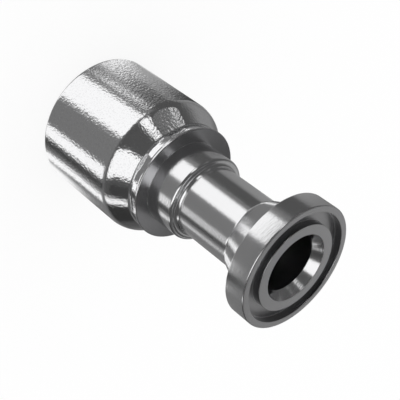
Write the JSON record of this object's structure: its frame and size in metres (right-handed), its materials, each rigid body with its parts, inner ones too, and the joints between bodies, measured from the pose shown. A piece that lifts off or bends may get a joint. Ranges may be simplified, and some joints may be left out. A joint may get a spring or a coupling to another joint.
{
  "type": "crimp hose fitting with split-flange head",
  "caption": "Hydraulic hose end: staked crimp shell with jaw marks, barbed tail, collar, round-edged hub, neck and grooved flange head with through bore.",
  "frame": {"origin": "centre of the shell's open end, on the surface that the fitting stands on", "axes": "+Z along the fitting's axis up to the sealing face; +X is 9 degrees before the first jaw mark"},
  "size_m": [0.0506, 0.0506, 0.1022],
  "materials": {
    "polished_plating": "bright plated steel, slightly mottled",
    "turned_steel": "plated turned steel with fine tool marks"
  },
  "bodies": {
    "root": {"crimp_shell": "polished_plating", "flange_nipple": "turned_steel"}
  },
  "joints": []
}
